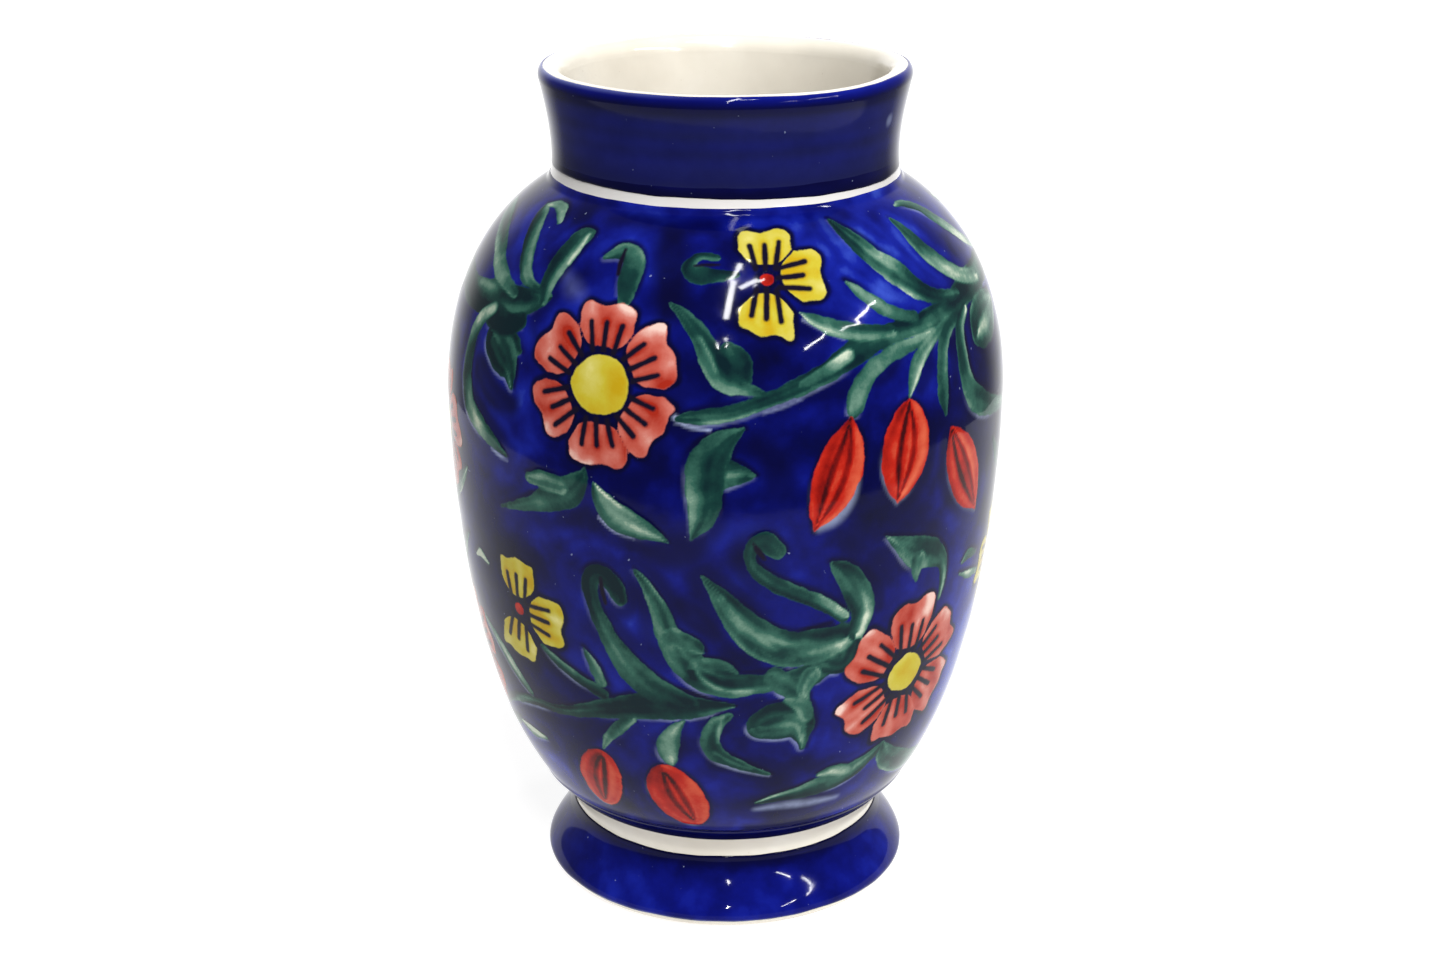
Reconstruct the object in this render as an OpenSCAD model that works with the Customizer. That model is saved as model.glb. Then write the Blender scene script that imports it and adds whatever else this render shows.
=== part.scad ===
// Talavera vase: a wheel-thrown clay pot in three sections under fired coats of glaze.
// Origin: centre of the foot ring, on the table. +Z runs up the axis of the pot.
// Every section and coat is cut from one skin line, the half outline of the glazed pot, which
// starts at the foot, climbs the outside, turns over the lip and runs down the lining to the
// middle of the floor.

/* [Body] */
// Height from the table to the top of the lip
height = 250; // [246:1:258]
// Diameter of the belly at its widest
belly_d = 164.6; // [156:0.2:172]
// Height of the widest part of the belly
belly_z = 155; // [148:1:160]
// Thickness of the thrown wall
wall = 5; // [4:0.5:6]

/* [Neck] */
// Diameter at the crease between shoulder and neck
crease_d = 103; // [98:0.5:108]
// Height of that crease above the table
crease_z = 217; // [214:0.5:220]
// Diameter of the flared lip
lip_d = 106; // [102:0.5:110]
// Height of the rounded lip
lip_h = 3.5; // [3:0.5:5]

/* [Foot] */
// Diameter of the foot at the table
foot_d = 108.2; // [102:0.2:110]
// How far the foot swells past that diameter, on each side
foot_swell = 1.2; // [0.5:0.1:3]
// Diameter of the waist above the foot
waist_d = 96; // [92:0.5:104]
// Height of the foot skirt
foot_h = 20.6; // [18:0.2:23]
// Height of the plain band between foot and belly
waist_h = 7.9; // [6:0.1:9]
// Width of the ring that rests on the table
ring_w = 6.4; // [5:0.2:8]
// Thickness of the floor of the pot
floor_t = 8; // [6:0.5:10]

/* [Coats] */
// Thickness of the white ground glaze and of the lining
ground_t = 0.6; // [0.4:0.1:0.8]
// Thickness of the blue coats
paint_t = 0.3; // [0.2:0.05:0.4]
// Bare clay left below the glaze at the foot
bare_h = 0.8; // [0.5:0.1:1.5]
// White left below the blue at the foot
foot_edge_h = 2; // [1:0.5:4]

/* [Painted bands] */
// Height of the dark line at the top of the foot
foot_line_h = 2; // [1:0.5:3]
// Height of the dark band at the bottom of the belly
waist_line_h = 6.5; // [5:0.5:9]
// Height of the white line above the crease
neck_band_z = 2.1; // [1.5:0.1:3]
// Width of that white line
neck_band_h = 2.3; // [1.5:0.1:3]
// Height of the dark line at the bottom of the neck
neck_line_h = 2; // [1:0.5:3]
// Depth below the top of the lip where the blue ends
lip_edge_h = 1.6; // [1:0.1:2.5]

/* [Hidden] */
$fn = 128;

belly_r = belly_d / 2;
crease_r = crease_d / 2;
lip_r = lip_d / 2;
foot_r = foot_d / 2;
waist_r = waist_d / 2;
waist_z = foot_h + waist_h;
neck_line_z = crease_z + neck_band_z + neck_band_h;
lip_z = height - lip_h;
inner_belly_r = belly_r - wall;
inner_crease_r = crease_r - wall - 1.2;
inner_lip_r = lip_r - wall - 1.8;
floor_z = foot_h + floor_t;
// The hollow is this much narrower than the waist where the wall meets the floor
bowl_r = waist_r - 6;
bowl_z = floor_z + 4.4;
// Step from the edge of the glaze in to the bare ring
ring_inset = 1.4;
// Clay left beside the recess at its top, under the waist
recess_wall = 5.5;

// Point on a cubic curve, and the curve as a line of n steps
function bezier_at(p, t) = let (s = 1 - t)
    s * s * s * p[0] + 3 * s * s * t * p[1] + 3 * s * t * t * p[2] + t * t * t * p[3];
function bezier(p, n) = [for (i = [0:n]) bezier_at(p, i / n)];

function part_of(line, first, last) = [for (i = [first:last]) line[i]];
function backwards(line) = [for (i = [len(line) - 1:-1:0]) line[i]];
function without_first(line) = part_of(line, 1, len(line) - 1);

// Point on the way from a to b: dr of the step in radius and dz of the step in height
function between(a, b, dr, dz) = [a[0] + dr * (b[0] - a[0]), a[1] + dz * (b[1] - a[1])];

// The corner points of the skin line
foot_p = [foot_r, bare_h];
foot_top_p = [waist_r, foot_h];
waist_top_p = [waist_r + 3.7, waist_z];
widest_p = [belly_r, belly_z];
crease_p = [crease_r, crease_z];
neck_top_p = [lip_r, lip_z];
lip_top_p = [lip_r - 2.2, height];
lip_inner_p = [inner_lip_r, lip_z - 1];
inner_crease_p = [inner_crease_r, crease_z];
inner_widest_p = [inner_belly_r, belly_z];
bowl_p = [bowl_r, bowl_z];
flat_p = [0.35 * bowl_r, floor_z];
floor_p = [0, floor_z];

// The stretches between those corners, each one cubic curve
foot_line_pts = bezier([foot_p, foot_p + [foot_swell * 3.7, 3.8],
    foot_top_p + [1.3, -0.46 * foot_h], foot_top_p], 20);
waist_pts = bezier([foot_top_p, foot_top_p + [-0.4, 0.37 * waist_h],
    waist_top_p + [-1.1, -0.25 * waist_h], waist_top_p], 6);
belly_low_pts = bezier([waist_top_p, between(waist_top_p, widest_p, 0.942, 0.237),
    between(waist_top_p, widest_p, 1, 0.855), widest_p], 36);
belly_top_pts = bezier([widest_p, between(widest_p, crease_p, 0, 0.174),
    between(widest_p, crease_p, 0.073, 0.732), crease_p], 30);
neck_pts = bezier([crease_p, crease_p + [-2.9, 4],
    neck_top_p + [-3.6, -0.49 * (lip_z - crease_z)], neck_top_p], 26);
lip_pts = bezier([neck_top_p, neck_top_p + [0.5, 0.6 * lip_h],
    lip_top_p + [1.4, 0], lip_top_p], 8);
mouth_pts = bezier([lip_top_p, lip_top_p - [2.4, 0],
    lip_inner_p + [0.4, 3], lip_inner_p], 8);
collar_pts = bezier([lip_inner_p, lip_inner_p - [1.8, 12],
    inner_crease_p + [-0.9, 8], inner_crease_p], 12);
shoulder_pts = bezier([inner_crease_p, inner_crease_p + [1.2, -9],
    between(inner_widest_p, inner_crease_p, 0, 0.72), inner_widest_p], 28);
bowl_pts = bezier([inner_widest_p, between(inner_widest_p, bowl_p, 0, 0.18),
    between(inner_widest_p, bowl_p, 0.1, 0.86), bowl_p], 30);
hollow_pts = bezier([bowl_p, between(bowl_p, flat_p, 0.3, 0.75),
    between(bowl_p, flat_p, 0.65, 1), flat_p], 10);

skin = concat(foot_line_pts, without_first(waist_pts), without_first(belly_low_pts),
    without_first(belly_top_pts), without_first(neck_pts), without_first(lip_pts),
    without_first(mouth_pts), without_first(collar_pts), without_first(shoulder_pts),
    without_first(bowl_pts), without_first(hollow_pts), [floor_p]);

// Places on the skin line, counted in steps from the foot
at_foot_top = len(foot_line_pts) - 1;
at_waist_top = at_foot_top + len(waist_pts) - 1;
at_widest = at_waist_top + len(belly_low_pts) - 1;
at_crease = at_widest + len(belly_top_pts) - 1;
at_neck_top = at_crease + len(neck_pts) - 1;
at_lip_top = at_neck_top + len(lip_pts) - 1;
at_lip_inner = at_lip_top + len(mouth_pts) - 1;
at_inner_crease = at_lip_inner + len(collar_pts) - 1;
at_end = len(skin) - 1;

// Step on the outside that is nearest to a height
function gap_to(i, z) = abs(skin[i][1] - z);
function at_height(z) = let (least = min([for (i = [0:at_lip_top]) gap_to(i, z)]))
    [for (i = [0:at_lip_top]) if (gap_to(i, z) == least) i][0];

// The skin line moved by d along its normals, out of the clay where d is positive
function unit(v) = v / norm(v);
function normal(i) = let (v = unit(skin[i + 1] - skin[i])) [v[1], -v[0]];
function corner_normal(i) = let (
    a = normal(max(i - 1, 0)),
    b = normal(min(i, at_end - 1))) (a + b) / (1 + a * b);
function moved(d) = [for (i = [0:at_end]) skin[i] + d * corner_normal(i)];

paint_skin = moved(paint_t);
clay_skin = moved(-ground_t);

// Corners of the foot ring
ring_out_p = [foot_r - ring_inset, 0];
ring_in_p = ring_out_p - [ring_w, 0];
recess_low_p = ring_in_p + [-1.2, 1.4];
recess_top_p = [waist_r - recess_wall, foot_h];

// A ring between two skins, from one step to another
module coat(under, over, first, last) {
    rotate_extrude()
        polygon(concat(part_of(over, first, last), backwards(part_of(under, first, last))));
}

module blue_coat(first, last) {
    coat(skin, paint_skin, first, last);
}

// Foot ring: thrown on its own and joined under the pot with slip
module clay_foot() {
    color([0.78, 0.66, 0.51])
        rotate_extrude()
            polygon(concat([ring_out_p], part_of(clay_skin, 0, at_foot_top),
                [recess_top_p, recess_low_p, ring_in_p]));
}

// Pot: the waist, the round belly and the shoulder, closed below by the floor
module clay_belly() {
    color([0.80, 0.68, 0.53])
        rotate_extrude()
            polygon(concat([[0, foot_h], recess_top_p],
                part_of(clay_skin, at_foot_top, at_crease),
                part_of(clay_skin, at_inner_crease, at_end)));
}

// Neck: the collar with its rounded lip, joined at the crease
module clay_neck() {
    color([0.76, 0.64, 0.49])
        rotate_extrude()
            polygon(part_of(clay_skin, at_crease, at_inner_crease));
}

// White ground over the whole outside and over the lip
module ground_glaze() {
    color([0.91, 0.88, 0.81])
        coat(clay_skin, skin, 0, at_lip_inner);
}

// White lining of the neck, the belly and the floor
module lining_glaze() {
    color([0.89, 0.85, 0.77])
        coat(clay_skin, skin, at_lip_inner, at_end);
}

// Blue coat of the foot skirt
module cobalt_foot() {
    color([0.07, 0.10, 0.45])
        blue_coat(at_height(foot_edge_h), at_height(foot_h - foot_line_h));
}

// Dark line that edges the foot skirt
module foot_line() {
    color([0.02, 0.02, 0.14])
        blue_coat(at_height(foot_h - foot_line_h), at_foot_top);
}

// Dark band where the belly rises from the waist
module waist_line() {
    color([0.03, 0.03, 0.18])
        blue_coat(at_waist_top, at_height(waist_z + waist_line_h));
}

// Blue coat of the belly and the shoulder
module cobalt_belly() {
    color([0.04, 0.06, 0.45])
        blue_coat(at_height(waist_z + waist_line_h), at_height(crease_z + neck_band_z));
}

// Dark line at the bottom of the neck
module neck_line() {
    color([0.02, 0.02, 0.14])
        blue_coat(at_height(neck_line_z), at_height(neck_line_z + neck_line_h));
}

// Blue coat of the neck, up to the edge of the lip
module cobalt_neck() {
    color([0.05, 0.07, 0.40])
        blue_coat(at_height(neck_line_z + neck_line_h), at_height(height - lip_edge_h));
}

clay_foot();
clay_belly();
clay_neck();
ground_glaze();
lining_glaze();
cobalt_foot();
foot_line();
waist_line();
cobalt_belly();
neck_line();
cobalt_neck();
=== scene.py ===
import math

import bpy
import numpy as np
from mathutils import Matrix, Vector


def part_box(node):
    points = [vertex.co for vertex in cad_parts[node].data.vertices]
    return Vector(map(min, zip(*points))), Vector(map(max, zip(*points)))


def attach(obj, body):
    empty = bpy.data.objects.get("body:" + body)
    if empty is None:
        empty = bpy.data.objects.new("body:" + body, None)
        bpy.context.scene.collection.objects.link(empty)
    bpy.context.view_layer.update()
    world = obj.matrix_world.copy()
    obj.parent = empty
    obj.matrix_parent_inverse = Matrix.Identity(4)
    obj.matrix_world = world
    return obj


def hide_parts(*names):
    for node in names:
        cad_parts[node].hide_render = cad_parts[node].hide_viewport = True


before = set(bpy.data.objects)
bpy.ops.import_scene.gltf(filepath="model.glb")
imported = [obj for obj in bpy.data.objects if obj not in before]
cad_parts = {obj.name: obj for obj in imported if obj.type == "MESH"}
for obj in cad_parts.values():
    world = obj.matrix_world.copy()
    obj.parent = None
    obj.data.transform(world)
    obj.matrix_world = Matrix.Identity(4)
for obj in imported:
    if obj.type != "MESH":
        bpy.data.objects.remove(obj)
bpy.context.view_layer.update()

# Talavera vase. Lengths are in millimetres and angles in degrees, unless a name says otherwise.
# Angle 0 faces the camera (-Y) and grows to the right; heights are measured from the table.
# The skin line is the half outline of the glazed pot: up the outside, over the lip, down the
# lining. A station is a length along that line.

MM = 0.001
TAU = 2 * math.pi

# ---- sizes, from the frame

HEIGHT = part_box("ground_glaze")[1].z / MM
BELLY_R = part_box("ground_glaze")[1].x / MM
FOOT_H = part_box("clay_belly")[0].z / MM

# The other radii (R), places (Z) and heights (H) are those of a vase 250 mm high.
SCALE = HEIGHT / 250
BELLY_Z = 155 * SCALE
CREASE_R, CREASE_Z = 51.5 * SCALE, 217 * SCALE
LIP_R, LIP_H = 53 * SCALE, 3.5 * SCALE
FOOT_R, FOOT_SWELL = 54.1 * SCALE, 1.2 * SCALE
WAIST_R, WAIST_H = 48 * SCALE, 7.9 * SCALE
BEAD_Z = 35

# Heights where the blue of the foot starts, where the blue of the belly ends, and where the white
# line under the neck and the dark line above it end.
FOOT_BLUE_Z, BELLY_BLUE_Z = 2.6, 219.1 * SCALE
WHITE_LINE_Z, DARK_LINE_Z = 221.5 * SCALE, 224.4 * SCALE

# Thicknesses (T), the width of the foot ring, and the bare strip under the glaze.
WALL, FLOOR_T, GROUND_T, PAINT_T = 5, 8, 0.6, 0.3
RING_W, BARE_H = 6.4, 0.8

# Points round a painted coat and round a plain one, and the most that a distance to paint is.
PAINTED_COLUMNS, PLAIN_COLUMNS = 760, 320
FAR = 14.0


# ---- the skin line

def bezier(p):
    """A cubic curve in 160 steps."""
    p = np.array(p, float)
    t = np.linspace(0, 1, 161)[:, None]
    s = 1 - t
    return s**3 * p[0] + 3 * s * s * t * p[1] + 3 * s * t * t * p[2] + t**3 * p[3]


def between(a, b, dr, dz):
    """A point at fractions dr and dz of the step from a to b."""
    return (a[0] + dr * (b[0] - a[0]), a[1] + dz * (b[1] - a[1]))


def skin_line():
    """Points of the skin line, and the number of the point where each of its curves starts."""
    waist_z, lip_z, floor_z = FOOT_H + WAIST_H, HEIGHT - LIP_H, FOOT_H + FLOOR_T
    foot = (FOOT_R, BARE_H)
    foot_top = (WAIST_R, FOOT_H)
    waist_top = (WAIST_R + 3.7, waist_z)
    widest = (BELLY_R, BELLY_Z)
    crease = (CREASE_R, CREASE_Z)
    neck_top = (LIP_R, lip_z)
    lip_top = (LIP_R - 2.2, HEIGHT)
    lip_inner = (LIP_R - WALL - 1.8, lip_z - 1)
    inner_crease = (CREASE_R - WALL - 1.2, CREASE_Z)
    inner_widest = (BELLY_R - WALL, BELLY_Z)
    bowl = (WAIST_R - 6, floor_z + 4.4)
    flat = (0.35 * bowl[0], floor_z)
    curves = {
        "foot": (foot, (foot[0] + FOOT_SWELL * 3.7, foot[1] + 3.8),
                 (foot_top[0] + 1.3, 0.54 * FOOT_H), foot_top),
        "waist": (foot_top, (foot_top[0] - 0.4, FOOT_H + 0.37 * WAIST_H),
                  (waist_top[0] - 1.1, waist_z - 0.25 * WAIST_H), waist_top),
        "belly": (waist_top, between(waist_top, widest, 0.942, 0.237),
                  between(waist_top, widest, 1, 0.855), widest),
        "shoulder": (widest, between(widest, crease, 0, 0.174),
                     between(widest, crease, 0.073, 0.732), crease),
        "neck": (crease, (crease[0] - 2.9, crease[1] + 4),
                 (neck_top[0] - 3.6, lip_z - 0.49 * (lip_z - CREASE_Z)), neck_top),
        "lip": (neck_top, (neck_top[0] + 0.5, lip_z + 0.6 * LIP_H),
                (lip_top[0] + 1.4, HEIGHT), lip_top),
        "mouth": (lip_top, (lip_top[0] - 2.4, HEIGHT),
                  (lip_inner[0] + 0.4, lip_inner[1] + 3), lip_inner),
        "collar": (lip_inner, (lip_inner[0] - 1.8, lip_inner[1] - 12),
                   (inner_crease[0] - 0.9, CREASE_Z + 8), inner_crease),
        "inner_shoulder": (inner_crease, (inner_crease[0] + 1.2, CREASE_Z - 9),
                           between(inner_widest, inner_crease, 0, 0.72), inner_widest),
        "inner_belly": (inner_widest, between(inner_widest, bowl, 0, 0.18),
                        between(inner_widest, bowl, 0.1, 0.86), bowl),
        "bowl": (bowl, between(bowl, flat, 0.3, 0.75), between(bowl, flat, 0.65, 1), flat),
    }
    points, corners = [np.array([foot])], {}
    for name, handles in curves.items():
        corners[name] = sum(len(p) for p in points) - 1
        points.append(bezier(handles)[1:])
    corners["floor"] = sum(len(p) for p in points) - 1
    points.append(np.linspace(flat, (0, floor_z), 20)[1:])
    return np.concatenate(points), corners


def softened(points, corner, reach):
    """The line with its sharp corner eased over a few points, as glaze pools in a crease."""
    lo, hi = corner - reach, corner + reach + 1
    out = points.copy()
    for _ in range(3):
        out[lo:hi] = 0.25 * out[lo - 1:hi - 1] + 0.5 * out[lo:hi] + 0.25 * out[lo + 1:hi + 1]
    return out


SKIN, CORNER = skin_line()
SKIN = softened(SKIN, CORNER["neck"], 5)
STATION = np.concatenate([[0], np.cumsum(np.hypot(*np.diff(SKIN, axis=0).T))])
ALONG = np.gradient(SKIN, STATION, axis=0)
ALONG /= np.hypot(*ALONG.T)[:, None]
NORMAL = np.stack([ALONG[:, 1], -ALONG[:, 0]], 1)
S = {name: STATION[i] for name, i in CORNER.items()}
S["end"] = STATION[-1]
OUTSIDE = slice(0, CORNER["mouth"] + 1)


def station(z):
    """Station of a height on the outside."""
    return np.interp(z, SKIN[OUTSIDE, 1], STATION[OUTSIDE])


def skin_at(s, lift):
    """Radius and height on the skin line, lift mm out along its normal."""
    return tuple(np.interp(s, STATION, SKIN[:, k]) + lift * np.interp(s, STATION, NORMAL[:, k])
                 for k in (0, 1))


def wander(angle, seed, waves=(1, 2, 3, 5, 8, 13, 21), fall=0.8):
    """A smooth closed wobble between about -1 and 1 around the pot (angle in radians)."""
    rng = np.random.default_rng(seed)
    out = 0
    for k in waves:
        out = out + np.sin(k * angle + rng.uniform(0, TAU)) * k**-fall
    return out / sum(k**-fall for k in waves) * 1.6


def thrown(angle, r, z):
    """The pot as a hand left it: out of round, faint rings, a lip that isn't level."""
    off_axis = np.clip(r / 20, 0, 1)
    spiral = np.sin(z / 4.1 - angle) * 0.035 + np.sin(z / 2.3 + 2 * angle) * 0.015
    swell = 0.22 * np.sin(2 * angle + 0.7 + z / 60) + 0.13 * np.sin(3 * angle - z / 45)
    tilt = np.clip((z - 0.9 * HEIGHT) / (0.1 * HEIGHT), 0, 1) ** 2
    level = tilt * 0.5 * wander(angle, 5, (1, 2, 3, 4, 6))
    above_ring = np.clip(z / 6, 0, 1)
    ragged = 0.45 * wander(angle, 6, (5, 7, 9, 12, 17), 0.3)
    inner = tilt * smoothstep(LIP_R - 2, LIP_R - 5, r) * ragged
    return r + off_axis * above_ring * (spiral + swell) + inner, z + level


# ---- meshes of revolution

def to_mesh(name, points, faces):
    """A smooth object from points in mm, with the edges of its coat kept sharp."""
    mesh = bpy.data.meshes.new(name)
    mesh.from_pydata((points * MM).tolist(), [], faces)
    mesh.validate()
    mesh.shade_smooth()
    mesh.set_sharp_from_angle(angle=math.radians(40))
    piece = bpy.data.objects.new(name, mesh)
    bpy.context.scene.collection.objects.link(piece)
    return piece


def spin(angle, r, z):
    """Points in space for a grid of angles (radians), radii and heights."""
    r, z = thrown(angle, r, z)
    return np.stack([r * np.sin(angle), -r * np.cos(angle), z + 0 * r], -1)


def grid_faces(columns, rows, first=0, flip=False):
    """Quads of a closed grid with columns around and rows up, points counted column by column."""
    here = first + np.arange(columns * rows).reshape(columns, rows)
    there = np.roll(here, -1, axis=0)
    quads = np.stack([here[:, :-1], there[:, :-1], there[:, 1:], here[:, 1:]], -1).reshape(-1, 4)
    return (quads[:, ::-1] if flip else quads).tolist()


def lathe(name, outline):
    """A closed half outline turned about the axis. Where it meets the axis it closes in a point."""
    outline = np.array(outline)
    rows, columns = len(outline), PLAIN_COLUMNS
    angle = np.linspace(0, TAU, columns, endpoint=False)[:, None]
    points = spin(angle, outline[:, 0] + 0 * angle, outline[:, 1] + 0 * angle).reshape(-1, 3)
    number = np.arange(columns * rows).reshape(columns, rows)
    on_axis = outline[:, 0] < 1e-6
    number[:, on_axis] = number[0, on_axis]
    used, number = np.unique(number, return_inverse=True)
    number = number.reshape(columns, rows).tolist()
    faces = []
    for a, b in zip(number, number[1:] + number[:1]):
        for k in range(rows):
            m = (k + 1) % rows
            corners = tuple(dict.fromkeys((a[k], b[k], b[m], a[m])))
            if len(corners) > 2:
                faces.append(corners)
    return to_mesh(name, points[used], faces)


def line(first, last, lift, step):
    """Points of the skin line between two stations, lifted."""
    count = max(int((last - first) / step), 3)
    return np.stack(skin_at(np.linspace(first, last, count + 1), lift), 1)


def coat(name, first, last, rows, under_rows, thin=(True, True), edge=0.7, pool=0.0):
    """A coat of paint on the skin between two stations that may change with the angle. It thins
    out over the edge length at the ends where thin says so, and lies thicker by pool at its foot.
    Returns the piece, and the angle and the station of each point of its upper face."""
    columns = PAINTED_COLUMNS
    angle = np.linspace(0, TAU, columns, endpoint=False)[:, None]
    lo, hi = first(angle), last(angle)

    def grid(count):
        # rows crowd a little at the two edges, where the coat thins out
        t = np.linspace(0, 1, count)[None]
        return lo + (hi - lo) * (t - 0.25 * np.sin(TAU * t) / TAU)

    over = grid(rows)
    near_edge = np.minimum(over - lo if thin[0] else FAR, hi - over if thin[1] else FAR) / edge
    thick = PAINT_T + pool * np.clip(1 - (over - lo) / (0.85 * (hi - lo)), 0, 1)
    lift = thick * np.sqrt(np.clip(1 - (1 - np.clip(near_edge, 0, 1)) ** 2, 0, 1))
    top = spin(angle, *skin_at(over, lift))
    low = spin(angle, *skin_at(grid(under_rows)[:, 1:-1], 0))
    inner = under_rows - 2
    base = columns * rows
    faces = grid_faces(columns, rows) + grid_faces(columns, inner, base, flip=True)
    for i in range(columns):
        a, b = i * rows, (i + 1) % columns * rows
        c, d = base + i * inner, base + (i + 1) % columns * inner
        faces.append((a, c, d, b))
        faces.append((a + rows - 1, b + rows - 1, d + inner - 1, c + inner - 1))
    points = np.concatenate([top.reshape(-1, 3), low.reshape(-1, 3)])
    return to_mesh(name, points, faces), angle + 0 * over, over


# ---- brush work

def smoothstep(lo, hi, x):
    """0 up to lo and 1 from hi on, with an eased step between them."""
    t = np.clip((x - lo) / (hi - lo), 0, 1)
    return t * t * (3 - 2 * t)


def ripples(u, v, seed, across, along, count=7):
    """Streaks of a loaded brush, between about -1 and 1: fine across u, long along v."""
    rng = np.random.default_rng(seed)
    out = 0
    for _ in range(count):
        k = rng.uniform(0.5, 2.2) * across
        m = rng.uniform(-2.0, 2.0) * along
        out = out + np.sin(k * u + m * v + rng.uniform(0, TAU))
    return out / count * 1.9


def clouds(angle, s, seed, around, up):
    """A smooth patchiness between about -1 and 1 that closes round the pot: up to so many
    waves around, and up radians for each mm along the skin."""
    rng = np.random.default_rng(seed)
    out = 0
    for _ in range(10):
        k = int(rng.integers(0, around + 1))
        m = rng.uniform(0.3, 1.0) * up * rng.choice([-1.0, 1.0])
        out = out + np.sin(k * angle + m * s + rng.uniform(0, TAU))
    return out / 5


def through(points):
    """A smooth line through given points, each with a half width, in 7 steps a span."""
    p = np.array(points, float)
    p = np.concatenate([[2 * p[0] - p[1]], p, [2 * p[-1] - p[-2]]])
    out = []
    for a, b, c, d in zip(p, p[1:], p[2:], p[3:]):
        for t in np.arange(7) / 7:
            out.append(0.5 * (2 * b + (c - a) * t + (2 * a - 5 * b + 4 * c - d) * t * t
                              + (3 * b - a - 3 * c + d) * t**3))
    out.append(p[-2])
    out = np.array(out)
    out[:, 2] = np.maximum(out[:, 2], 0.25)
    return out


MOTIFS = ("green", "coral", "yellow", "red")
COLOURS = MOTIFS + ("line",)


class Painting:
    """What the brushes leave on a coat: for each colour the distance inside its edge, in mm, how
    light the paint is (tone), and how much dark (ink) and milky paint lies on the blue. Places
    are an angle and a height, and turn moves a whole pattern round the pot."""

    def __init__(self, angle, stations):
        self.shape = angle.shape
        self.a = angle.ravel()
        self.s = stations.ravel()
        self.r = np.interp(self.s, STATION, SKIN[:, 0])
        n = self.a.size
        self.edge = {c: np.full(n, -FAR) for c in COLOURS}
        self.tone = np.full(n, 0.5)
        self.ink = np.zeros(n)
        self.milk = np.zeros(n)
        self.turn = 0.0
        self.seed = 1

    def near(self, a, s, reach):
        """Points within reach of a place, with their offsets from it in mm."""
        da = (self.a - a + math.pi) % TAU - math.pi
        keep = np.flatnonzero((np.abs(self.s - s) < reach) & (np.abs(da) * self.r < reach))
        return keep, da[keep] * self.r[keep], self.s[keep] - s

    def stroke_field(self, points, margin=6):
        """The points near a stroke, the distance inside it in mm, and their places across it (-1
        to 1) and along it in mm."""
        p = through([(math.radians(a + self.turn), station(z), w) for a, z, w in points])
        mid = p[len(p) // 2]
        radius = np.interp(mid[1], STATION, SKIN[:, 0])
        reach = max(np.abs(p[:, 0] - mid[0]).max() * radius * 1.3,
                    np.abs(p[:, 1] - mid[1]).max()) + p[:, 2].max() + margin
        keep, x, y = self.near(mid[0], mid[1], reach)
        r = self.r[keep]
        best = np.full(len(keep), 1e9)
        across, along = np.zeros(len(keep)), np.zeros(len(keep))
        walked = 0.0
        for q0, q1 in zip(p[:-1], p[1:]):
            ax, ay = (q0[0] - mid[0]) * r, q0[1] - mid[1]
            bx, by = (q1[0] - q0[0]) * r, q1[1] - q0[1]
            length2 = bx * bx + by * by + 1e-9
            t = np.clip(((x - ax) * bx + (y - ay) * by) / length2, 0, 1)
            dx, dy = x - ax - t * bx, y - ay - t * by
            width = q0[2] + (q1[2] - q0[2]) * t
            d = np.hypot(dx, dy) - width
            closer = d < best
            best = np.where(closer, d, best)
            side = np.sign(bx * dy - by * dx) * np.hypot(dx, dy) / width
            across = np.where(closer, side, across)
            along = np.where(closer, walked + t * np.sqrt(length2), along)
            walked += float(math.hypot((q1[0] - q0[0]) * radius, q1[1] - q0[1]))
        return keep, -best, across, along

    def cover(self, layer, keep, value):
        """Raises a layer to the value where that is higher."""
        layer[keep] = np.maximum(layer[keep], value)

    def tint(self, keep, tone, amount):
        """Moves the tone some of the way to a new one."""
        self.tone[keep] += (tone - self.tone[keep]) * amount

    def add(self, colour, keep, edge, tone):
        """Lays one stroke over what is there."""
        self.cover(self.edge[colour], keep, edge)
        self.tint(keep, tone, smoothstep(-0.5, 0.5, edge))

    def leaf(self, points, tone, light=0.2):
        """A green stroke. light brightens the side to its left, seen from its first point."""
        self.seed += 1
        keep, edge, across, along = self.stroke_field(points, FAR)
        wide = max(w for _, _, w in points)
        value = (tone + 0.6 * light * np.clip(across, -1, 1)
                 + 0.1 * ripples(across * wide, along, self.seed, 1.0, 0.05)
                 + 0.34 * ripples(across * wide, along, self.seed + 500, 0.32, 0.12))
        self.add("green", keep, edge, value)

    def streak(self, points, tone, soft=1.0, amount=0.8):
        """A lighter or darker drag of the brush inside a motif, with soft edges."""
        keep, edge, _, _ = self.stroke_field(points)
        self.tint(keep, tone, amount * smoothstep(-soft, soft, edge))

    def shade(self, points, amount, soft):
        """A soft dark stroke on the blue ground."""
        keep, edge, _, _ = self.stroke_field(points)
        self.cover(self.ink, keep, amount * smoothstep(-soft, soft * 0.6, edge))

    def gleam(self, points, amount, soft=0.6):
        """A soft milky stroke on the blue ground."""
        keep, edge, _, _ = self.stroke_field(points)
        self.cover(self.milk, keep, amount * smoothstep(-soft, soft, edge))

    def mark(self, points):
        """A dark line on top of everything."""
        keep, edge, _, _ = self.stroke_field(points)
        self.cover(self.edge["line"], keep, edge)

    def bud(self, top, foot, half, bend, point=1.0, lines=(-0.28, 0.3)):
        """A red bud with dark strokes that meet at its ends, the more oval the less point is."""
        self.seed += 1
        side = np.array([foot[1] - top[1], top[0] - foot[0]], float)
        side /= np.hypot(*side)
        spine = []
        for t in np.linspace(0, 1, 13):
            w = half * math.sin(math.pi * t**0.95) ** point
            shift = bend * math.sin(math.pi * t)
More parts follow.
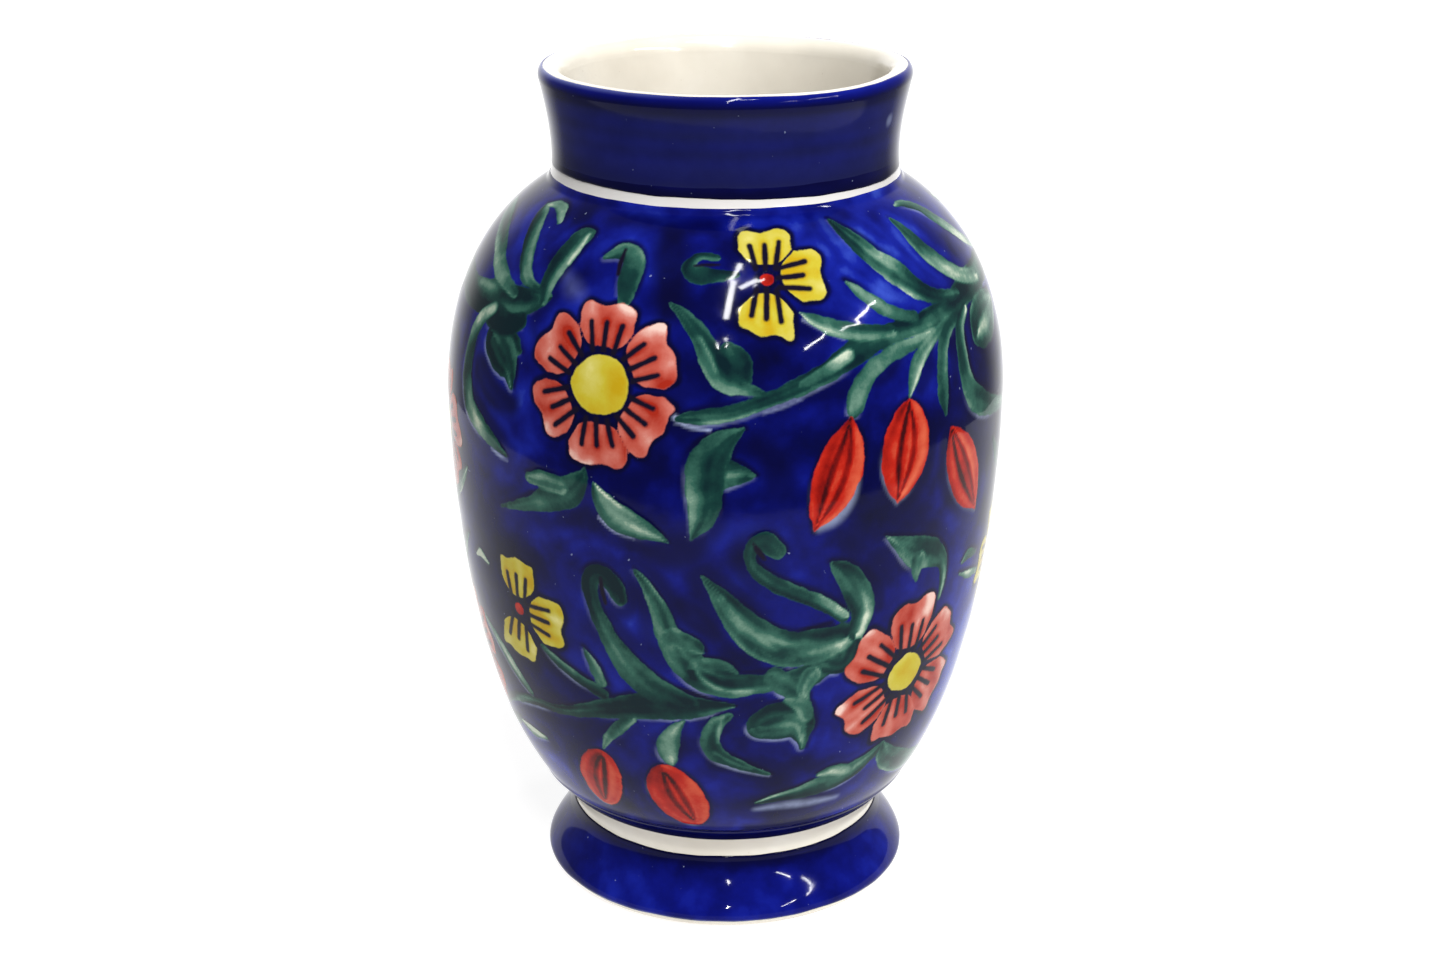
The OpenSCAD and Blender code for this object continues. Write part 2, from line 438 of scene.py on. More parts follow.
            # a degree at the belly is about 1.4 mm
            spine.append((top[0] + (foot[0] - top[0]) * t + side[0] * shift / 1.4,
                          top[1] + (foot[1] - top[1]) * t + side[1] * shift, max(w, 0.3)))
        keep, edge, across, along = self.stroke_field(spine, FAR)
        value = (0.58 + 0.16 * np.clip(across, -1, 1) - 0.26 * smoothstep(11, 0, along)
                 + 0.16 * ripples(across * half, along, self.seed, 0.7, 0.1))
        for place in lines:
            value = value - 0.46 * smoothstep(1.5, 0.4, np.abs(across - place) * half)
        self.add("red", keep, edge, value)

    def flower(self, a, z, colour, turns, inner, outer, half, core, core_colour):
        """Petals with dark lines round a core. turns go anticlockwise from the right, and petals
        reach from the inner to the outer radius."""
        centre = math.radians(a + self.turn)
        keep, x, y = self.near(centre, float(station(z)), outer + FAR)
        wedge = math.tan(math.radians(30 if len(turns) > 4 else 42))
        for turn in turns:
            self.seed += 1
            rng = np.random.default_rng(self.seed)
            angle = math.radians(turn + rng.uniform(-3, 3))
            u = x * math.cos(angle) + y * math.sin(angle)
            v = -x * math.sin(angle) + y * math.cos(angle)
            v = v + rng.uniform(-0.06, 0.06) * (u - inner)
            far = (outer * rng.uniform(0.95, 1.05) + rng.uniform(-0.14, 0.14) * v
                   + 0.55 * np.cos(v * 0.7 + rng.uniform(0, TAU)))
            middle, length = (inner + far) / 2, (far - inner) / 2
            wide = half * rng.uniform(0.93, 1.06)
            wide = np.minimum(wide, np.maximum(u, inner) * wedge - 0.6)
            rounding = 0.27 * half
            du = np.abs(u - middle) - length + rounding
            dv = np.abs(v) - wide + rounding
            d = (np.hypot(np.maximum(du, 0), np.maximum(dv, 0))
                 + np.minimum(np.maximum(du, dv), 0) - rounding)
            tip = np.clip((u - inner) / (outer - inner), 0, 1.2)
            pale = rng.uniform(0.0, 0.85)
            corner = rng.choice([-1.0, 1.0])
            value = (0.4 + pale * tip**3 * smoothstep(-0.5, 1, corner * v / half)
                     + 0.12 * ripples(v, u, self.seed, 0.7, 0.15)
                     + 0.24 * ripples(v, u, self.seed + 300, 0.3, 0.3))
            beside = np.full(len(keep), FAR)
            for lean in (-0.6, 0.0, 0.6):
                end = inner + (outer - inner) * rng.uniform(0.48, 0.66)
                start = inner - 1.2
                t = np.clip((u - start) / (end - start), 0, 1)
                at_line = lean * half * (0.62 + 0.3 * t)
                reach = np.hypot(v - at_line, u - start - t * (end - start))
                beside = np.minimum(beside, reach)
                self.cover(self.edge["line"], keep, 0.8 - reach)
            self.add(colour, keep, -d, value - 0.2 * smoothstep(2.2, 0.8, beside))
        rim = core * (1 + 0.07 * wander(np.arctan2(y, x), self.seed, (1, 2, 3, 5)))
        inside = rim - np.hypot(x * 0.95, y * 1.05)
        self.edge["line"][keep] = np.where(inside > -0.3, -FAR, self.edge["line"][keep])
        value = 0.36 + 0.05 * (y - x) / core + 0.2 * ripples(x, y, self.seed + 7, 0.3, 0.3)
        self.add(core_colour, keep, inside, value)
        ring = smoothstep(2.6, 0.8, np.hypot(x, y) - core) * (inside < 0)
        self.cover(self.ink, keep, ring)


def paint_upper(p):
    """The spray of leaves and the branch that circle the shoulder."""
    p.leaf([(-92, 193, 4), (-80, 191, 4), (-70, 189.5, 4.5), (-60, 190.5, 5.5), (-52, 191.5, 5),
        (-46, 193.5, 3.5), (-41, 195.5, 1.2)], 0.22, 0.12)
    p.leaf([(-88, 210, 2), (-80, 208, 3), (-70, 203.5, 3), (-62, 198, 2.8), (-52, 194, 1.6)], 0.6)
    p.leaf([(-44, 196.3, 1), (-50, 198.5, 2), (-54, 203, 2.6), (-57.5, 208, 3), (-61, 212, 2.6),
        (-63, 214, 0.8)], 0.45, -0.3)
    p.leaf([(-62, 214.3, 0.8), (-58, 215, 1.5), (-54, 214.3, 1.8), (-50.8, 212.2, 1)], 0.85)
    p.leaf([(-42.3, 194.5, 1.8), (-42.8, 199.5, 3), (-41.5, 205.5, 3.6), (-39.7, 210, 3.2),
        (-37.8, 211.3, 1.4)], 0.45, 0.3)
    p.streak([(-38, 211, 0.5), (-38.2, 208, 0.9), (-39.6, 204, 0.4)], 1.0, 0.7)
    p.leaf([(-22.3, 196.8, 1.6), (-22.2, 202, 3), (-22.5, 207, 3.2), (-26, 208.5, 2.6),
        (-30, 206.8, 0.8)], 0.4, -0.2)
    p.streak([(-27.2, 205.8, 1), (-28.8, 205.2, 1.2)], 0.66)
    p.mark([(-25.4, 209, 0.5), (-25.5, 206, 0.8), (-25.2, 203.4, 0.6)])
    p.leaf([(2.5, 204.6, 1), (-2, 204.6, 2), (-6, 204.6, 2.8), (-8.5, 206, 2), (-6.5, 208.6, 1.2),
        (-2, 208.3, 1)], 0.34)
    p.mark([(-7.4, 206.6, 0.3), (-4.5, 206.8, 0.6), (-1.5, 206.9, 0.3)])
    p.leaf([(-45.2, 180.6, 0.8), (-48.5, 181.3, 4), (-52.5, 181, 5)], 0.3, 0.1)
    p.leaf([(-46.2, 170.4, 0.8), (-47.6, 175, 3.2), (-50.4, 178.4, 5.8), (-53.5, 181, 5.4)],
        0.36, -0.3)
    p.leaf([(-47, 188, 2.4), (-51, 186, 3.4), (-57, 187, 4)], 0.2)
    p.leaf([(-57.5, 188.5, 2), (-61.5, 184.5, 2.6), (-63.3, 177, 2.6), (-63.2, 168, 3),
        (-61, 160.5, 3.4), (-56, 156, 3), (-51, 153, 2), (-47.3, 150.6, 0.5)], 0.55, -0.25)
    p.leaf([(-27.2, 153.5, 0.5), (-28.3, 149.5, 2.4), (-31, 145.5, 4.4), (-35, 143, 4.4),
        (-39, 140, 2.8), (-44, 137.2, 1.6), (-50, 134.6, 0.4)], 0.34, -0.2)
    p.leaf([(-33, 146.5, 2.6), (-37, 147, 2.8), (-40.6, 146.6, 1.6)], 0.62)
    p.leaf([(-25.6, 149.3, 0.5), (-24.2, 145, 2.6), (-21, 140.6, 4), (-17, 138, 3.4),
        (-13.5, 136.3, 1.8), (-10.7, 134.2, 0.4)], 0.55, 0.25)
    p.leaf([(-9, 169.3, 0.8), (-5, 169.8, 1.9), (1, 171, 2.2), (7, 173.8, 2.2), (14, 177, 2.4),
        (20, 180.3, 2.8), (27, 184.6, 3.6), (35, 187.3, 3), (45, 188, 3), (56, 190, 3.4),
        (66, 192, 4), (78, 193, 4.2), (92, 193, 4)], 0.3, -0.2)
    p.leaf([(15, 177.6, 1.2), (20, 180.6, 1.8), (25, 183.6, 1.8)], 0.6)
    p.leaf([(0.5, 187, 2), (2.6, 184, 3.2), (3, 179.5, 2.8)], 0.3)
    p.leaf([(-11.8, 197.8, 0.5), (-8.5, 195, 1.8), (-5, 190, 2.6), (-2.5, 184, 3.5),
        (0, 179.6, 3.5), (4, 177.2, 1.8), (8, 175.6, 0.5)], 0.36, -0.2)
    p.streak([(-5, 190, 0.3), (-3, 185.4, 0.7), (-1.8, 181.6, 0.4)], 0.95)
    p.leaf([(5.2, 154, 0.6), (2, 154.6, 3), (-2, 154.5, 5)], 0.34)
    p.leaf([(3.2, 166.8, 0.5), (0, 163.8, 2.8), (-3.3, 158, 5.4), (-4, 150, 5), (-4.2, 143, 3.8),
        (-6.5, 135.5, 0.5)], 0.42, -0.25)
    p.leaf([(30.6, 215, 0.5), (34.2, 210.5, 2.8), (38, 205.6, 3.4), (42, 201.6, 4.2),
        (47, 196.3, 3.2), (53, 192.8, 2.2), (60, 191.5, 1.8)], 0.36, 0.2)
    p.streak([(34.8, 204.4, 0.5), (37.5, 200.9, 0.9), (42, 196.8, 0.5), (45, 194, 0.3)], 1.0)
    p.leaf([(27.8, 201.3, 0.4), (30, 199, 1.4), (32.5, 196.4, 1.8), (37, 192.5, 2),
        (43, 190, 1.8)], 0.5)
    p.leaf([(15.6, 195.4, 0.4), (18.6, 193.2, 1.8), (23, 190.8, 2.4), (29, 188.9, 2.4),
        (36, 188, 1.8)], 0.55, -0.25)
    p.leaf([(51.8, 212.4, 0.8), (53.8, 208.5, 2.6), (56, 203.5, 3.2), (60, 199, 3),
        (66, 195, 2.6), (74, 193, 2.2)], 0.66, -0.2)
    p.leaf([(58.5, 214.6, 0.6), (63, 214.4, 1.6), (68, 212.5, 1.8), (73, 208, 2.4),
        (80, 202, 2.2), (88, 197, 1.2)], 0.7)
    p.leaf([(48, 184.6, 1.6), (41, 183.6, 1.9), (35, 182.3, 2.2), (30, 179.4, 2.6),
        (26.6, 174.6, 2.8), (25.3, 170.3, 2.4), (24.6, 168, 0.7)], 0.46, 0.2)
    p.leaf([(53, 187, 1.2), (47.5, 184, 1.6), (43, 180.6, 2.2), (40.3, 176.5, 2.3),
        (38.6, 172, 1.2), (38, 170, 0.4)], 0.42, 0.2)
    p.leaf([(58, 187, 1.4), (52.5, 184.6, 2), (49.4, 180, 2.2), (48, 174.5, 2.3),
        (47.5, 168, 2.2), (47.8, 162.4, 0.7)], 0.55, 0.2)
    p.leaf([(61, 187.6, 1.5), (57, 184, 2.2), (55.8, 178, 2.6), (55.8, 171, 3), (57.5, 165, 4),
        (61.5, 160.8, 4), (67, 157.8, 3), (74, 155.5, 2.2), (82, 153, 0.6)], 0.55, 0.2)
    p.leaf([(79, 184, 3), (72, 182.5, 7), (67, 181.5, 7), (64.5, 180, 4.5)], 0.6, 0.15)


def paint_lower(p):
    """The lower spray, its big leaves and the stalks of the low buds."""
    p.leaf([(-72, 60, 0.6), (-64, 65.5, 1.4), (-57, 69.5, 1.8), (-48, 72, 1.6), (-40, 73, 1.7),
        (-32, 76, 2.4), (-24, 79.5, 3.6), (-16, 82, 4.6), (-9, 82.5, 4.2), (-3, 83, 2.4),
        (1.5, 83.5, 0.8)], 0.3, -0.15)
    p.leaf([(-21, 115.6, 2), (-22.4, 120, 2.8), (-25.2, 122.6, 2.8), (-27.4, 119.6, 2.6),
        (-26.9, 113, 2.4), (-25.1, 106, 2.6), (-22.8, 99.5, 3.4), (-19, 92.5, 4.4),
        (-14, 87, 4.4), (-8, 84, 3)], 0.26, 0.14)
    p.mark([(-24.9, 121.4, 0.5), (-24.8, 118, 0.8), (-24.2, 113.6, 0.6)])
    p.leaf([(-30.3, 97.6, 0.4), (-28.4, 92.5, 1.9), (-27, 87.3, 1.6)], 0.42)
    p.leaf([(-42, 94, 0.6), (-38, 90.6, 1.6), (-33, 87, 1.9), (-27, 83.6, 1.8)], 0.34, 0.2)
    p.leaf([(27, 101, 3), (21, 95, 4), (16, 91.5, 4), (11, 91, 2.6), (6, 90.5, 3.4), (0, 90.5, 4),
        (-5, 93.5, 4.6), (-8.5, 99, 4.8), (-11.5, 106, 3.6), (-13, 113.5, 2.8),
        (-15.3, 120.5, 1.8), (-17.8, 125.4, 0.4)], 0.42, 0.16)
    p.leaf([(-10.4, 105.6, 3), (-6.6, 103.4, 2.4), (-4.8, 101.4, 0.9)], 0.4)
    p.leaf([(-5, 95.6, 4), (-0.6, 96, 2.6), (2.2, 94.4, 0.8)], 0.36)
    p.leaf([(10, 92.5, 3), (14, 88, 3.4), (17, 84.6, 1.2)], 0.5)
    p.leaf([(20, 98, 5), (24.5, 95, 4), (26, 99, 4)], 0.36)
    p.streak([(-13.4, 107, 0.5), (-11.8, 100, 1.4), (-8.6, 93.6, 1.2)], 0.74, 1.6)
    p.streak([(-6.4, 97, 0.3), (-4.8, 92.6, 0.9), (-0.5, 89, 0.6), (5, 88.4, 0.4)], 0.95, 1.2)
    p.streak([(-9.5, 104, 0.3), (-7.4, 98.5, 0.7), (-2, 94, 0.6), (4, 93, 0.3)], 0.72, 1.2)
    p.streak([(-12.5, 112, 0.4), (-10.5, 106, 0.6), (-7.5, 101.5, 0.4)], 0.2, 1.2, 0.6)
    p.leaf([(17.6, 83.8, 0.5), (16.6, 87.4, 2), (18, 92, 3)], 0.66)
    p.leaf([(-4.5, 124.6, 0.4), (-1.3, 119, 2.4), (2, 112.5, 4.2), (6.5, 105.5, 5.4),
        (12, 101.5, 5.6), (18, 101, 5.6), (24, 102.5, 4.6)], 0.5, -0.25)
    p.streak([(-0.6, 118, 0.4), (3, 110.4, 1.2), (7, 105, 1.2), (10, 101.5, 0.5)], 0.86, 1.8)
    p.streak([(4.6, 112.4, 0.4), (9, 106.8, 0.9), (15, 104, 0.6)], 0.26, 1.8, 0.6)
    p.streak([(6, 102.4, 0.3), (10, 98.8, 0.6), (14, 97.6, 0.3)], 0.8, 1.4, 0.6)
    p.streak([(14, 107, 0.4), (19, 105.6, 1), (24, 106.4, 1)], 0.22, 2, 0.6)
    p.streak([(16, 103.6, 0.5), (20, 100.4, 1.2), (22, 97.4, 0.8)], 0.68, 1.8, 0.6)
    p.leaf([(9.6, 132, 2.6), (7.4, 134.6, 3), (5.2, 133.6, 2.2), (4.7, 130, 1.6), (6, 126, 2),
        (9.5, 122, 2.2), (14, 118.5, 2.2), (19, 114.8, 2.2), (24, 109.5, 2)], 0.36, 0.15)
    p.mark([(5.2, 134.6, 0.4), (6.2, 132, 0.8), (7.4, 129.6, 0.5)])
    p.leaf([(21, 126.4, 0.7), (24, 122.5, 3.4), (26.8, 116.5, 4.4), (28.5, 110, 3.6),
        (27.6, 104, 3)], 0.42, 0.2)
    p.leaf([(-21, 76.3, 1.5), (-24.5, 72.3, 2), (-27.3, 68.2, 1.6), (-29.7, 63.4, 0.5)], 0.55, 0.2)
    p.leaf([(-9.2, 77.8, 0.7), (-11.3, 74, 2.2), (-13, 69, 3.2), (-13.2, 65, 2.8),
        (-12.6, 62, 0.8)], 0.55, -0.3)
    p.leaf([(0.8, 80.4, 1.2), (-2.2, 77, 2.4), (-3.5, 71.5, 2.8), (-2, 66.5, 2.6), (2, 63.3, 2),
        (6.5, 60.5, 1.2), (10.5, 58.2, 0.3)], 0.42, 0.2)
    p.streak([(-0.6, 79.6, 0.4), (-1.4, 75.5, 0.7), (-1.6, 71, 0.3)], 1.0)
    p.streak([(-2.6, 67.4, 0.3), (1.6, 63.4, 0.5), (6, 60.8, 0.3)], 0.72)
    p.leaf([(17.6, 67, 0.9), (17.2, 70.6, 2.2), (16, 76, 5), (12, 77.6, 6.8), (8.5, 76.6, 5.2)],
        0.4, 0.12)
    p.leaf([(13, 84.5, 1.2), (16.6, 82, 2.6), (18, 78, 2)], 0.46)
    p.leaf([(32.7, 131.3, 0.4), (37, 127.6, 2.6), (41.5, 123.6, 5), (46, 121.8, 4.4),
        (49.6, 117.5, 2.4), (50.6, 111, 1.5), (50.3, 105.3, 0.4)], 0.5, 0.25)
    p.leaf([(42, 121, 3), (41.6, 117.5, 1.6), (41.8, 115.2, 0.5)], 0.5)
    p.leaf([(41, 61, 0.7), (37.5, 57.2, 2.4), (32, 53.4, 3.8), (25.5, 51.4, 4), (19, 49.5, 2.8),
        (13, 48.5, 1.8), (8, 47, 0.5)], 0.38, -0.15)
    p.leaf([(31, 54.5, 2.6), (27, 55.6, 2.4), (23.4, 55.4, 1)], 0.5)
    p.leaf([(41.2, 61, 0.7), (43.5, 55.5, 3.4), (48.5, 51, 4.4), (55, 47.5, 4.2), (63, 45, 3.6),
        (72, 43, 1.2)], 0.6, -0.2)
    p.leaf([(57.8, 113, 0.5), (61, 114.6, 1.6), (65, 113.2, 1)], 0.8)
    p.leaf([(57.6, 109.8, 0.4), (62, 107.6, 1.3), (68, 105.8, 1.2)], 0.7)
    p.leaf([(-64, 113.2, 0.5), (-61.3, 114.8, 1.6), (-58, 113.2, 0.7)], 0.78)
    p.leaf([(-66, 92, 1), (-60, 86.5, 2), (-55, 80.5, 2.4), (-50, 74.5, 1.2)], 0.66)
    p.leaf([(-64, 58, 0.6), (-57, 57.5, 2.2), (-50, 58.2, 0.6)], 0.66)


def paint_flowers(p):
    """Flowers and buds, over the leaves."""
    six = [90, 30, -30, -90, -150, 150]
    p.flower(-25, 176.2, "coral", six, 10.2, 21.4, 8.4, 8.2, "yellow")
    p.flower(42.4, 84.8, "coral", six, 8.6, 22.8, 8.2, 6.4, "yellow")
    p.flower(9.3, 203.5, "yellow", [88, 2, -97], 4.2, 15.4, 7.2, 1.7, "red")
    p.flower(-47.6, 103.3, "yellow", [86, -3, -108], 4.4, 17, 7.6, 1.9, "red")
    p.bud((24.3, 167.5), (17, 136.8), 7.2, -1.2)
    p.bud((37.8, 169.5), (35, 141), 8.4, -0.6)
    p.bud((49.5, 158), (61.6, 128.4), 7.6, 0.6)
    p.bud((-30.5, 61), (-36, 39.6), 7.2, 0.6, 0.6, (-0.2, 0.22))
    p.bud((-15, 59.6), (-8.2, 38), 8.2, 0.8, 0.62, (-0.2, 0.2))


def paint_side(p):
    """What fills the quarter between two front patterns."""
    six = [80, 20, -40, -100, -160, 140]
    p.leaf([(84, 172, 0.6), (88, 178, 2.2), (93, 184, 2.4), (98, 190, 1.6)], 0.4)
    p.leaf([(116, 140, 0.5), (111, 134, 2.4), (104, 128, 3.2), (97, 122, 3), (90, 120, 1)],
        0.5, 0.2)
    p.leaf([(86, 131, 0.5), (80, 135, 2.6), (74, 140, 2.6), (70, 146, 0.8)], 0.45, -0.2)
    p.leaf([(76, 88, 0.6), (79, 80, 2.4), (84, 72, 3), (91, 65, 2.2), (98, 60, 0.6)], 0.5, 0.2)
    p.leaf([(74, 68, 0.6), (80, 62, 2.2), (88, 55, 3), (98, 50, 2.6), (108, 49, 0.8)], 0.38, 0.2)
    p.leaf([(118, 60, 0.6), (112, 56, 2.2), (105, 55, 2), (100, 57, 0.6)], 0.6)
    p.leaf([(112, 118, 0.5), (107, 112, 2.2), (104, 106, 2.4), (103, 101, 0.8)], 0.4)
    p.flower(99, 147, "coral", six, 8.6, 19.5, 7.8, 6.6, "yellow")
    p.flower(101, 80, "coral", six, 8, 19.5, 7.4, 6, "yellow")
    p.flower(80, 107.5, "yellow", [92, 4, -92, 180], 4.2, 15, 6.6, 1.9, "red")


def paint_shadows(p):
    """Dark pools and milky streaks of the ground, listed one by one."""
    p.shade([(-14, 131, 3), (-8, 132, 5), (-4, 136, 2)], 0.75, 4)
    p.shade([(-9, 116, 2), (-6, 112, 4), (-2, 107, 2)], 0.8, 3)
    p.shade([(-13.5, 90.6, 0.6), (-9, 88.4, 0.9), (-4, 86, 0.9), (2.2, 83.6, 0.5)], 1, 0.6)
    p.shade([(4, 94.6, 0.7), (9, 94.6, 1), (14, 95, 0.4)], 0.9, 0.7)
    p.shade([(12, 106.6, 0.5), (17, 107, 1), (21.4, 108, 0.8)], 1, 0.7)
    p.shade([(20.4, 115.4, 0.5), (23.5, 112.6, 1), (26.4, 110.4, 0.5)], 1, 0.6)
    p.shade([(-46, 166, 3), (-52, 167, 4), (-57, 172, 4)], 0.85, 3)
    p.shade([(38, 182, 1), (32, 178, 3), (27, 176.5, 1)], 0.7, 2)
    p.shade([(46, 182.6, 1), (43, 176, 3), (41, 172, 2)], 0.6, 2)
    p.shade([(55, 184, 0.6), (52.6, 178, 2), (51.6, 170, 1.4)], 0.7, 1.6)
    p.shade([(28, 122, 2), (31.5, 116, 2), (32.5, 110, 1.5)], 0.7, 1.6)
    p.shade([(10, 150, 4), (9, 158, 4), (6, 163, 2)], 0.6, 4)
    p.shade([(-40, 196, 2), (-43, 189, 1.4), (-41, 184, 1)], 0.5, 2)
    p.shade([(-34, 215, 1.5), (-24, 215.5, 2.5), (-12, 215, 2.5), (-2, 215.5, 1)], 0.6, 4)
    p.shade([(-15, 214, 3), (-12.5, 205, 4.5), (-12, 196, 3)], 0.9, 4)
    p.shade([(24, 214, 1), (31, 216, 2)], 0.4, 4)
    p.shade([(-9, 176, 3), (-13, 166, 3), (-14, 158, 3)], 0.5, 4)
    p.gleam([(8, 44.2, 0.4), (15, 44.8, 1.3), (22, 44.3, 1.4), (31, 43.8, 0.5)], 0.5, 1.6)
    p.gleam([(-9.4, 169.6, 0.6), (-7, 167.6, 0.5), (-3, 166.6, 0.2)], 0.9)
    p.gleam([(7, 170.9, 0.1), (11, 172.3, 0.3), (14.5, 174, 0.1)], 0.45)
    p.gleam([(16.2, 193.6, 0.2), (19.5, 191.2, 0.3), (24.5, 188, 0.2)], 0.6)
    p.gleam([(18, 137.5, 0.8), (21.5, 140, 1.6), (24.4, 145, 1.2), (25.8, 151, 0.3)], 0.45, 1.6)
    p.gleam([(-24.6, 139.6, 0.2), (-21.6, 136.4, 0.4), (-17.5, 134.8, 0.2)], 0.8)
    p.gleam([(-52, 151, 0.2), (-49.5, 150, 0.5), (-47, 149.4, 0.2)], 0.8)
    p.gleam([(-38, 201, 1), (-35.5, 198.6, 2), (-33, 197.6, 1)], 0.1, 3)


def paint_ground(p):
    """Ground paint brushed along the outlines: dark over the motifs, milky under them, and
    streaks that follow the nearest edge. Returns how light the blue is."""
    shape = p.shape
    motif = np.maximum.reduce([p.edge[c] for c in MOTIFS])
    field = motif.reshape(shape)
    ring = np.concatenate([field[-1:], field, field[:1]])
    slope_a = np.gradient(ring, axis=0)[1:-1] / (TAU / shape[0] * p.r.reshape(shape))
    slope_s = np.gradient(field, axis=1) / np.gradient(p.s.reshape(shape), axis=1)
    size = np.hypot(slope_a, slope_s) + 1e-6
    faces_down = ((0.45 * slope_a + 0.9 * slope_s) / size).ravel()
    patch = 0.5 + 0.5 * clouds(p.a, p.s, 31, 9, 0.09)
    second = 0.5 + 0.5 * clouds(p.a, p.s, 33, 14, 0.12)
    outside = -motif
    near = outside > -0.6
    over = smoothstep(2.0, 0.3, outside) * near * smoothstep(0.35, -0.4, faces_down)
    pool = smoothstep(7, 1.5, outside) * smoothstep(0.62, 0.95, patch)
    petals = np.maximum(p.edge["coral"], p.edge["yellow"])
    for ink in (0.95 * over * smoothstep(0.15, 0.5, patch), 0.7 * pool,
                smoothstep(-2.0, -0.7, petals), 0.9 * smoothstep(-1.3, -0.3, p.edge["red"])):
        p.ink = np.maximum(p.ink, ink)
    under = smoothstep(1.2, 0.1, outside) * near * smoothstep(0.2, 0.9, faces_down)
    p.milk = np.maximum(p.milk, 0.42 * under * (petals < -2) * smoothstep(0.5, 0.85, second))
    flow = ripples(outside, 3.0 * np.sin(p.a) + 0.04 * p.s, 41, 0.5, 1.0, 8)
    cloud = clouds(p.a, p.s, 43, 9, 0.07)
    small = clouds(p.a, p.s, 47, 38, 0.45)
    return 0.46 + 0.1 * flow + 0.36 * cloud + 0.16 * small


def store(piece, values):
    """Puts the paint's values on the points of the upper face, and 0 on the hidden ones."""
    count = len(piece.data.vertices)
    for name, value in values.items():
        layer = piece.data.attributes.new(name, "FLOAT", "POINT")
        full = np.zeros(count, np.float32)
        full[:len(value)] = value
        layer.data.foreach_set("value", full)


def paint_belly(piece, angle, stations):
    """All the brush work of the belly, and a slight relief where the paint lies thick."""
    p = Painting(angle, stations)
    for turn in (0.0, 180.0):
        p.turn = turn
        for part in (paint_upper, paint_lower, paint_side, paint_flowers, paint_shadows):
            part(p)
    wash = paint_ground(p)
    values = {c: np.clip(p.edge[c], -FAR, 6) for c in COLOURS}
    values.update(tone=p.tone, ink=p.ink, milk=p.milk, wash=wash)
    store(piece, values)
    thick = sum(smoothstep(-0.4, 0.9, p.edge[c]) for c in MOTIFS)
    raise_up(piece, 0.03 * np.clip(thick, 0, 1))


def raise_up(piece, relief):
    """Moves the points of the upper face out along their normals, by so many mm."""
    mesh = piece.data
    co = np.zeros(len(mesh.vertices) * 3, np.float32)
    no = np.zeros_like(co)
    mesh.vertices.foreach_get("co", co)
    mesh.vertices.foreach_get("normal", no)
    push = np.zeros(len(mesh.vertices), np.float32)
    push[:len(relief)] = relief * MM
    mesh.vertices.foreach_set("co", co + no * np.repeat(push, 3))
    mesh.update()


def paint_plain(piece, wash, ink, milk):
    """A coat without motifs, with only the values given for how light the blue is and for its dark
    and milky paint; on the neck these also hold painted highlight, shade, sheen and haze.
    """
    values = {c: np.full(wash.size, -FAR) for c in COLOURS}
    values.update(tone=np.full(wash.size, 0.5), ink=ink.ravel(), milk=milk.ravel(),
                  wash=wash.ravel())
    store(piece, values)


# ---- materials

def srgb(r, g, b):
    """A colour given as 0-255 screen values, in linear light."""
    def linear(c):
        c /= 255
        return c / 12.92 if c <= 0.04045 else ((c + 0.055) / 1.055) ** 2.4
    return (linear(r), linear(g), linear(b), 1.0)


class Nodes:
    """Short ways to add nodes to a material or a world."""

    def __init__(self, owner):
        owner.use_nodes = True
        self.tree = owner.node_tree

    def node(self, kind, inputs=None, **settings):
        n = self.tree.nodes.new(kind)
        for key, value in settings.items():
            setattr(n, key, value)
        for key, value in (inputs or {}).items():
            if isinstance(value, bpy.types.NodeSocket):
                self.tree.links.new(value, n.inputs[key])
            else:
                n.inputs[key].default_value = value
        return n

    def place(self):
        return self.node("ShaderNodeTexCoord").outputs["Object"]

    def attribute(self, name):
        return self.node("ShaderNodeAttribute", attribute_name=name).outputs["Fac"]

    def math(self, operation, a, b):
        return self.node("ShaderNodeMath", {0: a, 1: b}, operation=operation).outputs[0]

    def noise(self, per_metre, detail=3.0, rough=0.55, stretch=(1, 1, 1)):
        where = self.node("ShaderNodeMapping", {"Vector": self.place(), "Scale": stretch})
        return self.node("ShaderNodeTexNoise", {
            "Vector": where.outputs[0], "Scale": per_metre, "Detail": detail, "Roughness": rough,
        }).outputs["Fac"]

    def range(self, value, lo, hi, to_lo=0.0, to_hi=1.0, **settings):
        return self.node("ShaderNodeMapRange", {
            "Value": value, "From Min": lo, "From Max": hi, "To Min": to_lo, "To Max": to_hi,
        }, **settings).outputs[0]

    def vary(self, noise, lo=0.0, hi=1.0):
        """A noise, most of which lies between 0.3 and 0.7, spread between two values."""
        return self.range(noise, 0.3, 0.7, lo, hi)

    def mix(self, factor, a, b):
        """A mix of two colours, which are the node's inputs 6 and 7 and its output 2."""
        return self.node("ShaderNodeMix", {0: factor, 6: a, 7: b}, data_type="RGBA").outputs[2]

    def ramp(self, value, *stops):
        """A colour ramp. Each stop is a position and the three screen values of its colour."""
        n = self.node("ShaderNodeValToRGB", {"Fac": value})
        while len(n.color_ramp.elements) < len(stops):
            n.color_ramp.elements.new(0.5)
        for element, (position, *colour) in zip(n.color_ramp.elements, stops):
            element.position = position
            element.color = srgb(*colour)
        return n.outputs["Color"]

    def bump(self, height, distance_m):
        return self.node("ShaderNodeBump", {"Height": height, "Distance": distance_m}).outputs[0]


class Shader(Nodes):
    """A material with a Principled shader."""

    def __init__(self, name):
        self.material = bpy.data.materials.new(name)
        super().__init__(self.material)
        self.bsdf = self.tree.nodes["Principled BSDF"]

    def finish(self, colour, roughness, normal=None, ior=1.5, specular=0.5):
        links = self.tree.links
        links.new(colour, self.bsdf.inputs["Base Color"])
        links.new(roughness, self.bsdf.inputs["Roughness"])
        if normal is not None:
            links.new(normal, self.bsdf.inputs["Normal"])
        self.bsdf.inputs["IOR"].default_value = ior
        self.bsdf.inputs["Specular IOR Level"].default_value = specular
        return self.material


